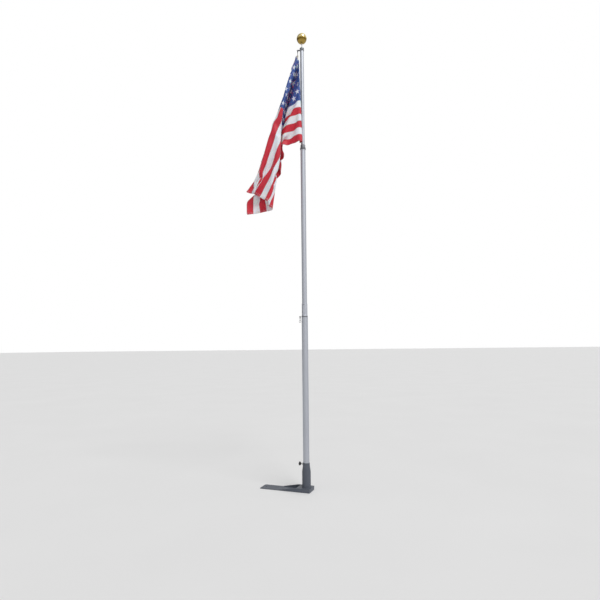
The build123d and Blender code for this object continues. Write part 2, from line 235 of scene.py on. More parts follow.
def darkSteel(name, dark, light, worn):
    # darkened wire and turned steel, rubbed bright in places
    material, tree, shader, place = newFinish(name, metallic=1.0)
    cloud = speckle(tree, place, 120, 6, 0.65)
    rub = spread(tree, speckle(tree, place, 260, 7, 0.7), 0, 1, 0.57, 0.70, smooth=True)
    colour = mixColour(tree, cloud, dark, light)
    colour = mixColour(tree, rub, colour, worn)
    give(tree, shader, Base_Color=colour, Roughness=spread(tree, cloud, 0.28, 0.50, 0.3, 0.7),
         Normal=bumped(tree, cloud, 0.15, 0.0003))
    return material


def goldBallFinish():
    # polished gold anodising with a spun haze: bright on the crown as a painted highlight, browner
    # under it as painted shade, with a darker belt that is a painted reflection
    material, tree, shader, place = newFinish("goldBallFinish", metallic=1.0)
    haze = speckle(tree, place, 26, 6, 0.6)
    spin = speckle(tree, stretched(tree, place, (6, 6, 700)), 1.0, 2, 0.5)
    low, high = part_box("finial_ball")
    height = addNode(tree, "ShaderNodeSeparateXYZ", {0: place}).outputs[2]
    wobble = calc(tree, "MULTIPLY", calc(tree, "SUBTRACT", haze, 0.5), 0.012)
    height = calc(tree, "ADD", height, wobble)
    share = spread(tree, height, 0, 1, low.z, high.z)
    # painted light: the bright gold on the crown stands for a painted highlight and the brown below
    # it for painted shade
    gold = mixColour(tree, haze, rgb(0.82, 0.66, 0.26), rgb(0.94, 0.80, 0.42))
    paintedShadeBrown = mixColour(tree, haze, rgb(0.34, 0.22, 0.045), rgb(0.48, 0.34, 0.10))
    colour = mixColour(tree, spread(tree, share, 0, 1, 0.40, 0.52, smooth=True), paintedShadeBrown, gold)
    # the dark belt below the middle is a painted reflection
    paintedReflectionBelt = calc(tree, "MULTIPLY", spread(tree, share, 0, 1, 0.20, 0.30, smooth=True),
                spread(tree, share, 1, 0, 0.36, 0.46, smooth=True))
    colour = mixColour(tree, calc(tree, "MULTIPLY", paintedReflectionBelt, 0.8), colour, rgb(0.17, 0.105, 0.012))
    rough = calc(tree, "ADD", spread(tree, haze, 0.07, 0.16, 0.3, 0.7),
                 calc(tree, "MULTIPLY", spin, 0.03))
    give(tree, shader, Base_Color=colour, Roughness=rough, Normal=bumped(tree, spin, 0.03, 0.0002))
    return material


def grommetBrass():
    material, tree, shader, place = newFinish("grommetBrass", metallic=1.0)
    cloud = speckle(tree, place, 240, 6, 0.65)
    tarnish = spread(tree, speckle(tree, place, 130, 5, 0.6), 0, 1, 0.45, 0.72)
    colour = mixColour(tree, tarnish, rgb(0.80, 0.58, 0.24), rgb(0.42, 0.28, 0.12))
    give(tree, shader, Base_Color=colour, Roughness=spread(tree, cloud, 0.22, 0.44, 0.3, 0.7),
         Normal=bumped(tree, cloud, 0.12, 0.0003))
    return material


def stitchRow(tree, distance, offset, runner, s):
    # a row of stitches at an offset from a line, dashed along the runner
    line = spread(tree, apart(tree, distance, offset), 1, 0, *s["width"])
    beat = apart(tree, calc(tree, "FRACT", calc(tree, "DIVIDE", runner, s["pitch"])), 0.5)
    return calc(tree, "MULTIPLY", line, spread(tree, beat, 1, 0, *s["dash"]))


def plainWeave(tree, uv, width, length, count):
    threads = [addNode(tree, "ShaderNodeTexWave",
                       {"Vector": stretched(tree, uv, scale), "Scale": count},
                       wave_type="BANDS", bands_direction=axis).outputs["Fac"]
               for axis, scale in (("X", (width, 0, 0)), ("Y", (0, length, 0)))]
    return calc(tree, "MULTIPLY", *threads)


cloth = {"fly": 1.494, "hoist": 0.914, "thickness": 0.0009, "stripes": 13,
         "cantonLength": 0.580, "cantonStripes": 7,
         "starRadius": 0.0272, "starSlope": (0.2245, 0.691), "starSoft": 0.0003,
         "hem": 0.026, "edgeHem": 0.008, "hemSoft": 0.0005, "seam": (0.0035, 0.0045),
         "cantonLap": 0.003, "seamStitch": 0.0022, "edgeStitch": 0.0066,
         "flyStitches": (0.024, 0.018, 0.012, 0.006)}
nylonStitch = {"width": (0.0003, 0.0007), "pitch": 0.0034, "dash": (0.32, 0.42)}
canvasStitch = {"width": (0.0003, 0.0008), "pitch": 0.0036, "dash": (0.32, 0.42)}


def starField(tree, along, down, c, cantonDrop):
    # two lattices of five-pointed stars, one at the odd places and one at the even ones
    stepX, stepY = c["cantonLength"] / 12, cantonDrop / 10
    gridX, gridY = calc(tree, "DIVIDE", along, stepX), calc(tree, "DIVIDE", down, stepY)
    slopeX, slopeY = c["starSlope"]
    inner = slopeX * c["starRadius"]
    turn = math.radians(72)
    stars = []
    for shift in (0.0, 1.0):
        cellX, cellY = (calc(tree, "SUBTRACT", calc(tree, "MODULO",
                        calc(tree, "ADD", grid, shift), 2.0), 1.0) for grid in (gridX, gridY))
        x, y = calc(tree, "MULTIPLY", cellX, stepX), calc(tree, "MULTIPLY", cellY, -stepY)
        angle = calc(tree, "ARCTAN2", x, y)
        radius = calc(tree, "SQRT", calc(tree, "ADD", calc(tree, "MULTIPLY", x, x),
                                         calc(tree, "MULTIPLY", y, y)))
        folded = apart(tree, calc(tree, "FLOORED_MODULO",
                                  calc(tree, "ADD", angle, turn / 2), turn), turn / 2)
        edge = calc(tree, "MULTIPLY", radius, calc(tree, "ADD",
                    calc(tree, "MULTIPLY", calc(tree, "COSINE", folded), slopeX),
                    calc(tree, "MULTIPLY", calc(tree, "SINE", folded), slopeY)))
        stars.append(spread(tree, edge, 1, 0, inner - c["starSoft"], inner + c["starSoft"]))
    # the second lattice stops one place short of the canton's edges
    inField = calc(tree, "MULTIPLY", calc(tree, "LESS_THAN", apart(tree, gridX, 6), 5.0),
                   calc(tree, "LESS_THAN", apart(tree, gridY, 5), 4.0))
    return calc(tree, "MAXIMUM", stars[0], calc(tree, "MULTIPLY", stars[1], inField))


def flagNylon(c):
    # sewn stripes with double stitching, embroidered stars, hems; all on the cloth's own UV map
    material, tree, shader, place = newFinish("flagNylon", Roughness=0.55, Specular_IOR_Level=0.35,
                                              Sheen_Weight=0.12, Sheen_Roughness=0.4,
                                              Subsurface_Weight=0.18, Subsurface_Scale=0.01)
    uv = addNode(tree, "ShaderNodeUVMap", uv_map="cloth").outputs[0]
    split = addNode(tree, "ShaderNodeSeparateXYZ", {0: uv})
    along = calc(tree, "MULTIPLY", split.outputs[0], c["fly"])        # metres from the hoist
    down = calc(tree, "MULTIPLY", split.outputs[1], c["hoist"])       # metres from the top edge
    pitch = c["hoist"] / c["stripes"]
    cantonDrop = pitch * c["cantonStripes"]

    band = calc(tree, "DIVIDE", down, pitch)
    parity = calc(tree, "MODULO", calc(tree, "FLOOR", band), 2.0)
    inCanton = calc(tree, "MULTIPLY", calc(tree, "LESS_THAN", along, c["cantonLength"]),
                    calc(tree, "LESS_THAN", down, cantonDrop))

    stars = calc(tree, "MULTIPLY", starField(tree, along, down, c, cantonDrop), inCanton)

    # cloth colour, with sun-faded patches and dust
    fade = speckle(tree, place, 5.5, 5, 0.6)
    red = mixColour(tree, fade, rgb(0.50, 0.012, 0.034), rgb(0.62, 0.030, 0.052))
    white = mixColour(tree, fade, rgb(0.78, 0.76, 0.80), rgb(0.86, 0.84, 0.88))
    blue = mixColour(tree, fade, rgb(0.022, 0.054, 0.215), rgb(0.040, 0.092, 0.340))
    colour = mixColour(tree, parity, red, white)
    colour = mixColour(tree, inCanton, colour, blue)
    colour = mixColour(tree, stars, colour, rgb(0.66, 0.67, 0.76))

    # seams between the stripes, the canton's edge and the hems
    toSeam = calc(tree, "FRACT", calc(tree, "ADD", band, 0.5))
    toSeam = calc(tree, "MULTIPLY", apart(tree, toSeam, 0.5), pitch)
    toSeam = calc(tree, "ADD", toSeam, inCanton)
    toCanton = apart(tree, along, c["cantonLength"] + c["cantonLap"])
    toCanton = calc(tree, "ADD", toCanton, calc(tree, "GREATER_THAN", down, cantonDrop))
    toFly = calc(tree, "SUBTRACT", c["fly"], along)
    toEdge = calc(tree, "MINIMUM", down, calc(tree, "SUBTRACT", c["hoist"], down))
    soft = c["hemSoft"]
    seam = calc(tree, "MAXIMUM", spread(tree, toSeam, 1, 0, *c["seam"], smooth=True),
                spread(tree, toCanton, 1, 0, *c["seam"], smooth=True))
    hem = calc(tree, "MAXIMUM",
               spread(tree, toFly, 1, 0, c["hem"] - soft, c["hem"] + soft, smooth=True),
               spread(tree, toEdge, 1, 0, c["edgeHem"] - soft, c["edgeHem"] + soft, smooth=True))
    raised = calc(tree, "MAXIMUM", seam, hem)

    stitches = stitchRow(tree, toSeam, c["seamStitch"], along, nylonStitch)
    for distance, offset, runner in ((toCanton, c["seamStitch"], down),
                                     (toEdge, c["edgeStitch"], along),
                                     *((toFly, row, down) for row in c["flyStitches"])):
        stitches = calc(tree, "MAXIMUM", stitches,
                        stitchRow(tree, distance, offset, runner, nylonStitch))
    colour = mixColour(tree, calc(tree, "MULTIPLY", raised, 0.16), colour, rgb(0.05, 0.04, 0.06))
    colour = mixColour(tree, calc(tree, "MULTIPLY", stitches, 0.6), colour, rgb(0.72, 0.70, 0.71))

    # plain weave, embroidery and fine creases
    weave = plainWeave(tree, uv, c["fly"], c["hoist"], 320.0)
    creases = speckle(tree, stretched(tree, uv, (c["fly"], c["hoist"], 1)), 16.0, 5, 0.55, 0.6)
    normal = bumped(tree, creases, 0.35, 0.004)
    height = calc(tree, "ADD", calc(tree, "MULTIPLY", weave, 0.15),
                  calc(tree, "MULTIPLY", raised, 0.8))
    height = calc(tree, "ADD", height, calc(tree, "ADD", calc(tree, "MULTIPLY", stars, 0.7),
                                            calc(tree, "MULTIPLY", stitches, 0.5)))
    give(tree, shader, Base_Color=colour, Normal=bumped(tree, height, 0.6, 0.0006, normal))
    return material


def headingCanvas():
    # white duck with a coarse plain weave and two rows of stitching, on the heading's UV map
    material, tree, shader, place = newFinish("headingCanvas", Roughness=0.85, Sheen_Weight=0.2)
    uv = addNode(tree, "ShaderNodeUVMap", uv_map="canvas").outputs[0]      # metres across and along
    split = addNode(tree, "ShaderNodeSeparateXYZ", {0: uv})
    across, along = split.outputs[0], split.outputs[1]
    slub = speckle(tree, stretched(tree, uv, (400, 40, 1)), 1.0, 4, 0.6)
    soil = speckle(tree, place, 14, 5, 0.6)
    colour = mixColour(tree, soil, rgb(0.66, 0.64, 0.59), rgb(0.84, 0.83, 0.79))
    colour = mixColour(tree, calc(tree, "MULTIPLY", slub, 0.18), colour, rgb(0.52, 0.50, 0.45))
    rows = calc(tree, "MAXIMUM", *(stitchRow(tree, across, offset, along, canvasStitch)
                                   for offset in (0.003, 0.027)))
    colour = mixColour(tree, calc(tree, "MULTIPLY", rows, 0.5), colour, rgb(0.86, 0.85, 0.82))
    height = calc(tree, "ADD", plainWeave(tree, uv, 1, 1, 260.0),
                  calc(tree, "MULTIPLY", rows, 1.2))
    give(tree, shader, Base_Color=colour, Normal=bumped(tree, height, 0.5, 0.0005))
    return material


finishes = {
    "tubeAluminium": tubeAluminium("tubeAluminium", rgb(0.53, 0.55, 0.60), rgb(0.45, 0.47, 0.52),
                                   roughLow=0.44, roughHigh=0.60),
    "turnedSleeve": tubeAluminium("turnedSleeve", rgb(0.60, 0.62, 0.68), rgb(0.51, 0.53, 0.59),
                                  drawn=(3, 3, 1500), roughLow=0.24, roughHigh=0.42),
    "paintedSteel": paintedSteel(),
    "zincSteel": zincSteel(),
    "knobPlastic": mouldedPlastic("knobPlastic", rgb(0.016, 0.016, 0.018),
                                  rgb(0.030, 0.030, 0.034), grain=1400),
    "ringPlastic": mouldedPlastic("ringPlastic", rgb(0.130, 0.135, 0.152),
                                  rgb(0.180, 0.186, 0.206)),
    "collarPlastic": mouldedPlastic("collarPlastic", rgb(0.210, 0.216, 0.240),
                                    rgb(0.285, 0.292, 0.318)),
    "guideNylon": mouldedPlastic("guideNylon", rgb(0.62, 0.62, 0.59), rgb(0.76, 0.76, 0.73),
                                 roughLow=0.35, roughHigh=0.5, strength=0.1),
    "capMetal": darkSteel("capMetal", rgb(0.170, 0.190, 0.200), rgb(0.240, 0.265, 0.275),
                          rgb(0.40, 0.42, 0.43)),
    "snapMetal": darkSteel("snapMetal", rgb(0.065, 0.065, 0.073), rgb(0.125, 0.125, 0.137),
                           rgb(0.36, 0.36, 0.37)),
    "screwMetal": darkSteel("screwMetal", rgb(0.030, 0.030, 0.034), rgb(0.065, 0.065, 0.070),
                            rgb(0.25, 0.25, 0.26)),
    "spindleMetal": tubeAluminium("spindleMetal", rgb(0.70, 0.70, 0.71), rgb(0.58, 0.58, 0.60),
                                  drawn=(4, 4, 1800)),
    "goldBall": goldBallFinish(),
    "grommetBrass": grommetBrass(),
    "flagNylon": flagNylon(cloth),
    "headingCanvas": headingCanvas(),
}
print("finishes made")

nodeFinishes = {
    "base_pan": "paintedSteel", "cover_plate": "paintedSteel", "socket_tube": "paintedSteel",
    "socket_weld": "paintedSteel", "socket_seat": "paintedSteel", "clamp_boss": "zincSteel",
    "clamp_screw": "zincSteel", "clamp_knob": "knobPlastic",
    "lower_tube": "tubeAluminium", "middle_tube": "tubeAluminium", "top_tube": "tubeAluminium",
    "lower_sleeve": "turnedSleeve", "sleeve_screw": "screwMetal",
    "spare_ring": "ringPlastic", "lower_ring": "ringPlastic", "top_ring": "ringPlastic",
    "spare_snap": "snapMetal", "lower_snap": "snapMetal", "top_snap": "snapMetal",
    "spare_gate": "snapMetal", "lower_gate": "snapMetal", "top_gate": "snapMetal",
    "middle_guide": "guideNylon", "top_guide": "guideNylon", "upper_collar": "collarPlastic",
    "truck_cap": "capMetal", "finial_spindle": "spindleMetal", "finial_ball": "goldBall",
    "upper_grommet": "grommetBrass", "lower_grommet": "grommetBrass",
    "flag_heading": "headingCanvas", "flag": "flagNylon",
}
for nodeName, finishName in nodeFinishes.items():
    mesh = nodes[nodeName].data
    if not mesh.materials:
        mesh.materials.append(finishes[finishName])
    for i in range(len(mesh.materials)):
        mesh.materials[i] = finishes[finishName]


def coat(obj, finishName):
    obj.data.materials.clear()
    obj.data.materials.append(finishes[finishName])


def dress(obj, finishName, body, replaced):
    coat(obj, finishName)
    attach(obj, body)
    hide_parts(replaced)


def applyModifiers(obj):
    onlyActive(obj)
    for modifier in list(obj.modifiers):
        bpy.ops.object.modifier_apply(modifier=modifier.name)


def thicken(obj, thickness):
    wall = obj.modifiers.new("thickness", "SOLIDIFY")
    wall.thickness, wall.offset = thickness, 0.0


def bevelEdges(obj, width, segments, angle=30.0):
    bevel = obj.modifiers.new("edges", "BEVEL")
    bevel.width, bevel.segments = width, segments
    bevel.limit_method, bevel.angle_limit = "ANGLE", math.radians(angle)


def combine(obj, tool, operation):
    # the tool is cut out of the piece or joined to it, and is then gone
    modifier = obj.modifiers.new("combine", "BOOLEAN")
    modifier.operation, modifier.object, modifier.solver = operation, tool, "EXACT"
    applyModifiers(obj)
    bpy.data.objects.remove(tool)


def settle(obj, smooth=35.0):
    # place goes into the mesh, faces outwards, smooth up to an angle
    onlyActive(obj)
    bpy.ops.object.transform_apply(location=True, rotation=True, scale=True)
    bpy.ops.object.mode_set(mode="EDIT")
    bpy.ops.mesh.select_all(action="SELECT")
    bpy.ops.mesh.remove_doubles(threshold=1e-6)
    bpy.ops.mesh.normals_make_consistent(inside=False)
    bpy.ops.object.mode_set(mode="OBJECT")
    bpy.ops.object.shade_smooth_by_angle(angle=math.radians(smooth))
    deselectAll()
    return obj


def turnedPiece(name, profile, axisPoint, axis, steps):
    # a profile of (radius, height) points spun about an axis through axisPoint
    axis = Vector(axis).normalized()
    side = axis.orthogonal().normalized()
    centre = Vector(axisPoint)
    mesh = bpy.data.meshes.new(name)
    points = [centre + side * r + axis * h for r, h in profile]
    closed = profile[0] == profile[-1]
    if closed:
        points = points[:-1]
    edges = [(i, i + 1) for i in range(len(points) - 1)]
    if closed:
        edges.append((len(points) - 1, 0))
    mesh.from_pydata([tuple(p) for p in points], edges, [])
    obj = bpy.data.objects.new(name, mesh)
    bpy.context.scene.collection.objects.link(obj)
    onlyActive(obj)
    bpy.ops.object.mode_set(mode="EDIT")
    bpy.ops.mesh.select_all(action="SELECT")
    bpy.ops.mesh.spin(steps=steps, angle=2 * math.pi, center=centre, axis=axis)
    bpy.ops.mesh.select_all(action="SELECT")
    bpy.ops.mesh.remove_doubles(threshold=1e-6)
    bpy.ops.object.mode_set(mode="OBJECT")
    return settle(obj)


def middleOf(nodeName):
    low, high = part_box(nodeName)
    return (low + high) / 2


# Flag: its folds are laid along eight threads of the cloth and pulled to the cloth's
# own size with the layers kept apart. A short cloth run in a light air from the right settles
# them, and the cloth is pulled to size once more

hoistLine = {"headAlong": 0.0601, "headForward": -0.0143, "footAlong": 0.0325,
             "footForward": 0.0237, "head": 4.4773, "foot": 3.5633, "hookInset": 0.024}

# from the hoist to the fly, so many stripes down: metres out from the pole's axis, towards
# the front, and below the head of the hoist, at ten even steps along each thread
flagFolds = {
    0: [(0.105, 0.02, 0.14), (0.145, 0.01, 0.28), (0.20, 0.00, 0.42), (0.27, -0.01, 0.55),
        (0.325, -0.02, 0.69), (0.36, -0.03, 0.835), (0.385, -0.04, 0.98),
        (0.42, -0.045, 1.125), (0.485, -0.04, 1.26), (0.565, -0.02, 1.385)],
    2: [(0.10, 0.00, 0.19), (0.13, 0.03, 0.31), (0.16, 0.07, 0.45), (0.21, 0.09, 0.58),
        (0.27, 0.08, 0.71), (0.31, 0.06, 0.84), (0.34, 0.05, 0.97),
        (0.38, 0.03, 1.11), (0.44, 0.01, 1.25), (0.51, -0.01, 1.41)],
    4: [(0.09, 0.00, 0.33), (0.15, -0.05, 0.44), (0.21, 0.01, 0.54), (0.25, 0.05, 0.64),
        (0.24, 0.05, 0.76), (0.26, 0.06, 0.89), (0.29, 0.06, 1.01),
        (0.34, 0.045, 1.14), (0.41, 0.025, 1.28), (0.46, 0.005, 1.44)],
    5.5: [(0.10, 0.02, 0.44), (0.16, -0.05, 0.55), (0.20, -0.05, 0.65), (0.25, 0.00, 0.72),
          (0.31, 0.00, 0.81), (0.29, 0.03, 0.93), (0.27, 0.06, 1.06),
          (0.28, 0.07, 1.20), (0.34, 0.055, 1.33), (0.40, 0.03, 1.47)],
    7: [(0.10, 0.02, 0.53), (0.185, -0.02, 0.65), (0.23, -0.11, 0.74), (0.25, -0.07, 0.82),
        (0.29, -0.02, 0.88), (0.31, -0.02, 0.96), (0.29, 0.00, 1.08),
        (0.27, 0.04, 1.21), (0.31, 0.05, 1.35), (0.34, 0.04, 1.51)],
    9: [(0.10, 0.02, 0.65), (0.195, -0.03, 0.75), (0.225, -0.11, 0.84), (0.24, -0.11, 0.93),
        (0.26, -0.07, 1.00), (0.28, -0.04, 1.08), (0.29, -0.03, 1.18),
        (0.30, -0.02, 1.30), (0.32, -0.01, 1.43), (0.34, -0.01, 1.57)],
    11: [(0.10, 0.02, 0.785), (0.21, -0.03, 0.87), (0.235, -0.10, 0.95), (0.25, -0.11, 1.03),
         (0.27, -0.10, 1.10), (0.30, -0.09, 1.19), (0.35, -0.08, 1.28),
         (0.41, -0.08, 1.37), (0.46, -0.07, 1.47), (0.47, -0.06, 1.59)],
    13: [(0.10, 0.02, 0.885), (0.225, -0.03, 0.95), (0.235, -0.10, 1.03), (0.225, -0.10, 1.12),
         (0.28, -0.13, 1.18), (0.34, -0.14, 1.26), (0.42, -0.13, 1.35),
         (0.51, -0.10, 1.42), (0.59, -0.07, 1.48), (0.61, -0.04, 1.59)],
}
# beside the heading the wind lays the cloth back over it: out along the flag and forward of
# the heading's edge, at even steps of the cloth, between two rows
lap = {"path": [(0, 0), (-0.008, 0.019), (-0.028, 0.024), (-0.030, 0.044)], "step": 0.0208,
       "top": 0.06, "foot": 0.96}
fall = {"columns": 72, "rows": 44, "rounds": 3000, "after": 200,
        "quickColumns": 48, "quickRows": 30, "quickRounds": 800,
        "step": 0.38, "bias": 0.5, "stiff": 0.06, "droop": 5e-6, "frames": 12, "lean": 18.0,
        "gravity": 9.81, "quality": 8, "mass": 0.03, "air": 3.0, "stretch": 15, "shear": 50,
        "bend": 0.1, "damping": 5, "bendDamping": 0.5}
# layers of the cloth that lie over one another keep a gap, in the order of the folds
layers = {"reach": 0.015, "gap": 0.010, "apart": 5, "sure": 0.010, "look": 100, "every": 5}


def onHang(places):
    # (along the flag, towards the front, up) into the frame's own axes
    along, forward, up = places[..., 0:1], places[..., 1:2], places[..., 2:3]
    return along * np.array(hang) + forward * np.array(front) + up * np.array((0, 0, 1))


def hoistPoints(line, share):
    head = np.array((line["headAlong"], line["headForward"], line["head"]))
    foot = np.array((line["footAlong"], line["footForward"], line["foot"]))
    return head * (1 - share[:, None]) + foot * share[:, None]


def smoothThrough(where, knots, values):
    # a cubic through the values at uneven knots, along the first axis
    wide = (slice(None),) + (None,) * (values.ndim - 1)
    slopes = (values[1:] - values[:-1]) / (knots[1:] - knots[:-1])[wide]
    tangents = np.concatenate((slopes[:1], 0.5 * (slopes[1:] + slopes[:-1]), slopes[-1:]))
    i = np.clip(np.searchsorted(knots, where, side="right") - 1, 0, len(knots) - 2)
    span = (knots[i + 1] - knots[i])[wide]
    a = ((where - knots[i]) / (knots[i + 1] - knots[i]))[wide]
    return ((1 + 2 * a) * (1 - a) ** 2 * values[i] + a * (1 - a) ** 2 * span * tangents[i]
            + a ** 2 * (3 - 2 * a) * values[i + 1] + a ** 2 * (a - 1) * span * tangents[i + 1])


def layFolds(c, line, folds, columns, rows):
    stripes = np.array(sorted(folds), float) / c["stripes"]
    start = hoistPoints(line, stripes)
    start[:, 2] = line["head"] - start[:, 2]
    plan = np.array([[start[k]] + folds[key] for k, key in enumerate(sorted(folds))], float)
    down, out = np.linspace(0, 1, rows + 1), np.linspace(0, 1, columns + 1)
    grid = np.swapaxes(smoothThrough(down, stripes, plan), 0, 1)
    grid = np.swapaxes(smoothThrough(out, np.linspace(0, 1, plan.shape[1]), grid), 0, 1)
    grid[:, :, 2] = line["head"] - grid[:, :, 2]
    return grid


def heldCloth(c, line, lay, columns, rows):
    # where the cloth is sewn to the heading, and where it lies back over it
    down, out = np.linspace(0, 1, rows + 1), np.linspace(0, 1, columns + 1) * c["fly"]
    path = np.array(lay["path"])
    marks = np.arange(len(path)) * lay["step"]
    places = np.repeat(hoistPoints(line, down)[:, None, :], columns + 1, axis=1)
    for axis in (0, 1):
        places[:, :, axis] += np.interp(out, marks, path[:, axis])
    between = (down > lay["top"]) & (down < lay["foot"])
    held = (out <= marks[-1])[None, :] & between[:, None]
    held[:, 0] = True
    return held, places


def layerPairs(grid, order, g):
    # crossings of threads that lie over one another as seen from the front, the nearer ones
    # and the farther ones
    columns = grid.shape[1]
    points = grid.reshape(-1, 3)
    depth = order.ravel()
    tree = kdtree.KDTree(len(points))
    for i, point in enumerate(points):
        tree.insert((point[0], 0, point[2]), i)
    tree.balance()
    near, far = [], []
    for i, point in enumerate(points):
        for found in tree.find_range((point[0], 0, point[2]), g["reach"]):
            j = found[1]
            steps = abs(i // columns - j // columns) + abs(i % columns - j % columns)
            if steps >= g["apart"] and depth[i] - depth[j] > g["sure"]:
                near.append(i)
                far.append(j)
    return np.array(near, int), np.array(far, int)


def partLayers(grid, pairs, g):
    near, far = pairs
    depth = grid[:, :, 1].ravel()
    lack = np.maximum(0, g["gap"] - depth[near] + depth[far])
    count = len(depth)
    moves = np.bincount(near, lack, count) - np.bincount(far, lack, count)
    hits = np.bincount(near, lack > 0, count) + np.bincount(far, lack > 0, count)
    grid[:, :, 1] += (0.5 * moves / np.maximum(hits, 1)).reshape(grid.shape[:2])


def pullToSize(grid, held, places, order, c, f, g, rounds):
    # every thread and diagonal is drawn towards its flat length, while the hoist stays put
    rows, columns = grid.shape[0] - 1, grid.shape[1] - 1
    alongStep, downStep = c["fly"] / columns, c["hoist"] / rows
    lean = math.radians(f["lean"])
    droop = f["droop"] * np.array((math.sin(lean), 0, -math.cos(lean)))
    full, first, last = slice(None), slice(0, -1), slice(1, None)
    firstTwo, lastTwo = slice(0, -2), slice(2, None)
    diagonal = math.hypot(alongStep, downStep)
    links = (((full, first), (full, last), alongStep, 1.0),
             ((first, full), (last, full), downStep, 1.0),
             ((first, first), (last, last), diagonal, f["bias"]),
             ((first, last), (last, first), diagonal, f["bias"]),
             ((full, firstTwo), (full, lastTwo), 2 * alongStep, f["stiff"]),
             ((firstTwo, full), (lastTwo, full), 2 * downStep, f["stiff"]))
    for count in range(rounds):
        moves = np.zeros_like(grid)
        for a, b, length, weight in links:
            gap = grid[b] - grid[a]
            distance = np.linalg.norm(gap, axis=2, keepdims=True) + 1e-9
            share = (distance - length) / distance * gap * (0.5 * weight)
            moves[a] += share
            moves[b] -= share
        grid = grid + moves * f["step"] + droop
        if count % g["look"] == 0:
            pairs = layerPairs(grid, order, g)
        if count % g["every"] == 0:
            partLayers(grid, pairs, g)
        grid[held] = places[held]
    return grid


def flatSheet(name, columns, rows, uvName, width, length):
    # a unit grid whose UV map holds its flat size, with each vertex's share across and down
    deselectAll()
    bpy.ops.mesh.primitive_grid_add(x_subdivisions=columns, y_subdivisions=rows, size=1)
    obj = bpy.context.object
    obj.name = name
    mesh = obj.data
    points = np.zeros(len(mesh.vertices) * 3)
    mesh.vertices.foreach_get("co", points)
    points = points.reshape(-1, 3)
    across, down = points[:, 0] + 0.5, 0.5 - points[:, 1]
    mesh.uv_layers[0].name = uvName
    for loop in mesh.loops:
        i = loop.vertex_index
        mesh.uv_layers[0].data[loop.index].uv = (across[i] * width, down[i] * length)
    return obj, across, down


def hangFlag(c, line, folds, lay, f, g):
    columns, rows, rounds = f["columns"], f["rows"], f["rounds"]
    grid = layFolds(c, line, folds, columns, rows)
    held, places = heldCloth(c, line, lay, columns, rows)
    order = np.where(held, places[:, :, 1], grid[:, :, 1])
    grid = pullToSize(grid, held, places, order, c, f, g, rounds)
    obj, s, t = flatSheet("sewnFlag", columns, rows, "cloth", 1.0, 1.0)
    mesh = obj.data
    across, down = np.rint(s * columns).astype(int), np.rint(t * rows).astype(int)
    mesh.vertices.foreach_set("co", onHang(grid[down, across]).ravel())
    mesh.update()

    pin = obj.vertex_groups.new(name="pin")
    pin.add([int(i) for i in np.nonzero(held[down, across])[0]], 1.0, "REPLACE")
    scene = bpy.context.scene
    lean = math.radians(f["lean"])
    scene.gravity = f["gravity"] * (hang * math.sin(lean) - Vector((0, 0, math.cos(lean))))
    modifier = obj.modifiers.new("fall", "CLOTH")
    settings = modifier.settings
    settings.quality = f["quality"]
    settings.mass = f["mass"]
    settings.tension_stiffness = settings.compression_stiffness = f["stretch"]
    settings.shear_stiffness = f["shear"]
    settings.bending_stiffness = f["bend"]
    settings.tension_damping = settings.compression_damping = f["damping"]
    settings.shear_damping = f["damping"]
    settings.bending_damping = f["bendDamping"]
    settings.air_damping = f["air"]
    settings.vertex_group_mass = "pin"
    modifier.collision_settings.use_self_collision = False
    modifier.collision_settings.use_collision = False
    frames = f["frames"]
    modifier.point_cache.frame_start = scene.frame_start = 1
    modifier.point_cache.frame_end = scene.frame_end = frames
    for number in range(1, frames + 1):
        scene.frame_set(number)
    shown = obj.evaluated_get(bpy.context.evaluated_depsgraph_get())
    fallen = np.zeros(len(mesh.vertices) * 3)
    shown.data.vertices.foreach_get("co", fallen)
    obj.modifiers.clear()
    obj.vertex_groups.clear()
    fallen = fallen.reshape(-1, 3)
    for axis, way in enumerate((hang, front, Vector((0, 0, 1)))):
        grid[down, across, axis] = fallen @ np.array(way)
    grid = pullToSize(grid, held, places, order, c, f, g, f["after"])
    mesh.vertices.foreach_set("co", onHang(grid[down, across]).ravel())
    mesh.update()
    scene.frame_set(1)
    return obj


flag = hangFlag(cloth, hoistLine, flagFolds, lap, fall, layers)
print("flag hung")
finer = flag.modifiers.new("finer", "SUBSURF")
finer.levels = finer.render_levels = 1
thicken(flag, cloth["thickness"])
applyModifiers(flag)
bpy.ops.object.shade_smooth()
deselectAll()
coat(flag, "flagNylon")
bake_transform(flag)
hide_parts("flag")


# Heading: a folded strip of canvas, with a hole at each grommet

heading = {"width": 0.030, "thickness": 0.0030, "under": 0.0012, "sway": 0.0012, "waves": 23.0,
           "edge": 0.0011, "bore": 0.0056, "drill": 0.05, "rows": 120, "columns": 6}


def canvasHeading(h, line):
    length = line["head"] - line["foot"]
    obj, a, t = flatSheet("canvasHeading", h["columns"], h["rows"], "canvas", h["width"], length)
    mesh = obj.data
    sway = h["sway"] * np.sin(t * h["waves"]) * np.sin(math.pi * t)
    inward = h["under"] - (1 - a) * h["width"]
    placed = onHang(hoistPoints(line, t))
    placed += inward[:, None] * np.array(headingAlong) + sway[:, None] * np.array(headingFront)
    mesh.vertices.foreach_set("co", placed.ravel())
    mesh.update()
    thicken(obj, h["thickness"])
    bevelEdges(obj, h["edge"], 3)
    applyModifiers(obj)
    for nodeName in ("upper_grommet", "lower_grommet"):
        bpy.ops.mesh.primitive_cylinder_add(vertices=40, radius=h["bore"], depth=h["drill"],
                                            location=middleOf(nodeName))
        drill = bpy.context.object
        drill.rotation_mode = "QUATERNION"
        drill.rotation_quaternion = Vector((0, 0, 1)).rotation_difference(headingFront)
        combine(obj, drill, "DIFFERENCE")
    settle(obj, 40)
    return obj


strip = canvasHeading(heading, hoistLine)
coat(strip, "headingCanvas")
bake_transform(strip)
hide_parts("flag_heading")
print("heading sewn")


# Grommets with a rolled rim on the front and a flat washer behind

